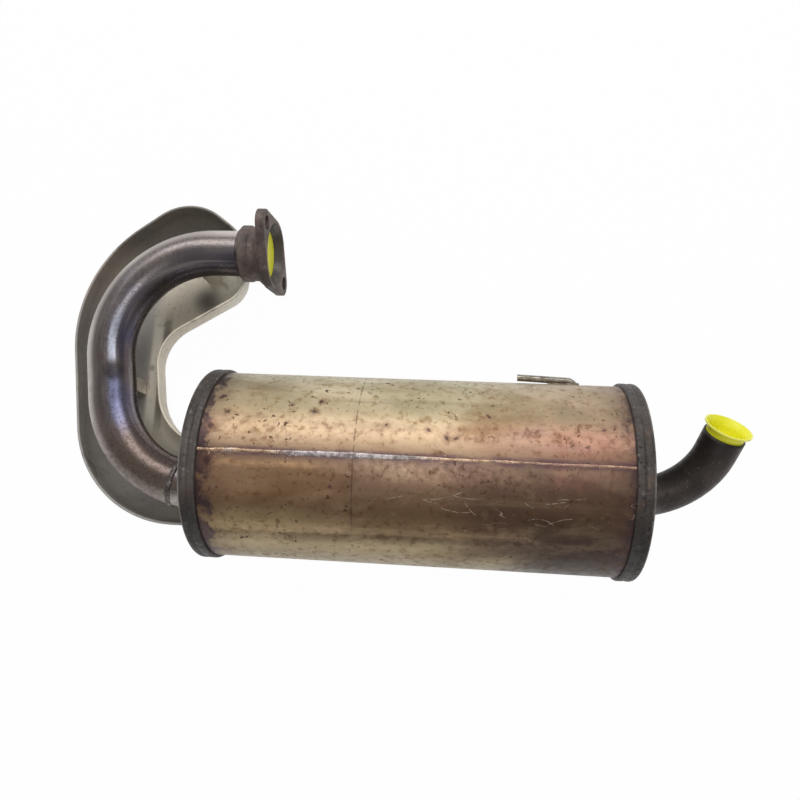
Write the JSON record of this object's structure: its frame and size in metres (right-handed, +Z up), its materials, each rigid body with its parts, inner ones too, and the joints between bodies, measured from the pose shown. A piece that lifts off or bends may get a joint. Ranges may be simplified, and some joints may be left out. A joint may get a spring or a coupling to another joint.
{
  "type": "exhaust silencer",
  "caption": "Exhaust silencer: a drum with rolled rims, a U-bent inlet pipe with a bolted flange over a pressed heat shield, and a short bent tail pipe.",
  "frame": {"origin": "centre of the inlet flange's face", "axes": "+X out of the inlet flange and along the drum towards the tail pipe, +Z up from the surface that the exhaust lies on"},
  "size_m": [0.6114, 0.3328, 0.1694],
  "materials": {
    "drum_steel": "rolled sheet, heat tinted bronze and olive, satin",
    "rim_steel": "dark heat-stained pressing with rust speckle",
    "weld_bead": "rough grey weld metal",
    "pipe_steel": "drawn tube, heat tinted brown, mauve and blue, satin",
    "shield_steel": "thin pressed sheet, heat tinted grey-brown",
    "flange_iron": "dull, light surface rust",
    "tail_steel": "soot-dark tube, satin",
    "rod_steel": "bare rod, satin",
    "inner_steel": "plain sheet and tube",
    "plug_plastic": "bright yellow moulded plastic"
  },
  "bodies": {
    "root": {"drum_shell": "drum_steel", "shell_seam_weld": "weld_bead", "inlet_end_cap": "rim_steel", "outlet_end_cap": "rim_steel", "inlet_stub": "pipe_steel", "inlet_stub_weld": "weld_bead", "inlet_pipe": "pipe_steel", "inlet_joint_weld": "weld_bead", "inlet_flange": "flange_iron", "flange_weld": "weld_bead", "inlet_plug": "plug_plastic", "heat_shield": "shield_steel", "shield_bracket_leg": "shield_steel", "shield_bracket_top": "shield_steel", "tail_pipe": "tail_steel", "tail_pipe_weld": "weld_bead", "tail_cap": "plug_plastic", "hanger_pin": "rod_steel", "hanger_pin_weld": "weld_bead", "inlet_baffle": "inner_steel", "outlet_baffle": "inner_steel", "inlet_perforated_tube": "inner_steel", "outlet_perforated_tube": "inner_steel", "crossover_tube": "inner_steel"}
  },
  "joints": []
}
